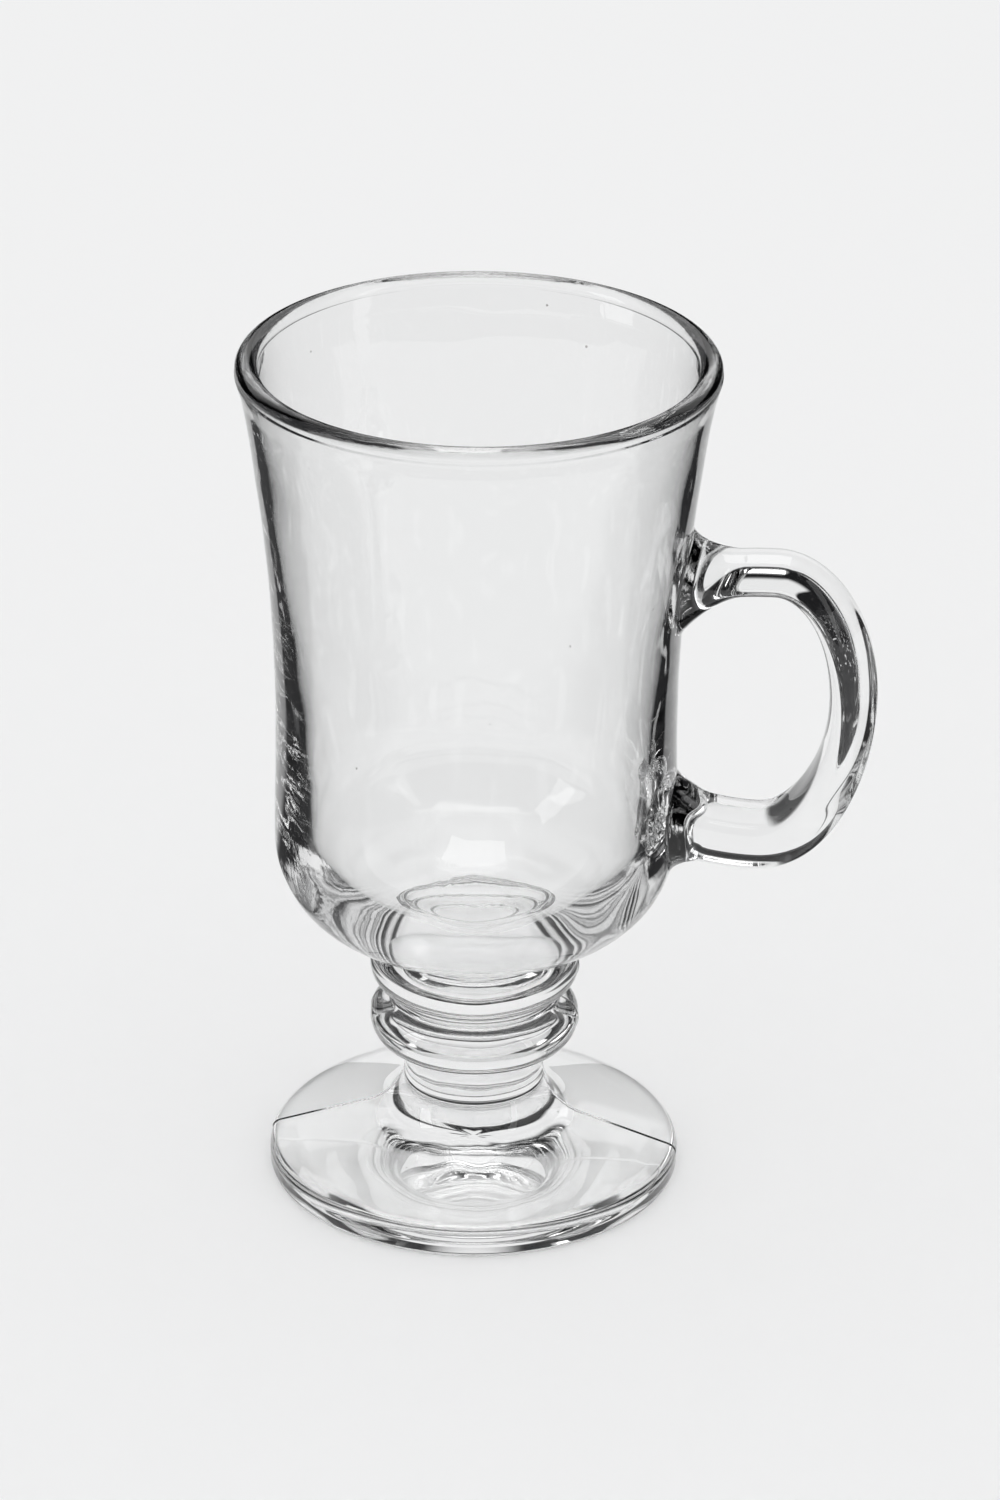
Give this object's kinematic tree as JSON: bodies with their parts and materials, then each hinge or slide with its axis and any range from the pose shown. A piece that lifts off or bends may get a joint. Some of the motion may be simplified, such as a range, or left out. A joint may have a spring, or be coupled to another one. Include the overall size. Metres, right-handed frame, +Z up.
{
  "type": "irish coffee mug",
  "caption": "Clear glass mug for Irish coffee: a tall bowl with a flared lip on a ringed stem and round foot, with a loop handle at one side.",
  "frame": {"origin": "centre of the standing ring under the foot, on the plane that the mug rests on", "axes": "+Z up along the axis of the bowl and stem, +X towards the handle"},
  "size_m": [0.1076, 0.0804, 0.15],
  "materials": {
    "clear_glass": "fire-polished clear pressed glass"
  },
  "bodies": {
    "root": {"foot": "clear_glass", "knop": "clear_glass", "collar": "clear_glass", "bowl": "clear_glass", "handle": "clear_glass"}
  },
  "joints": []
}
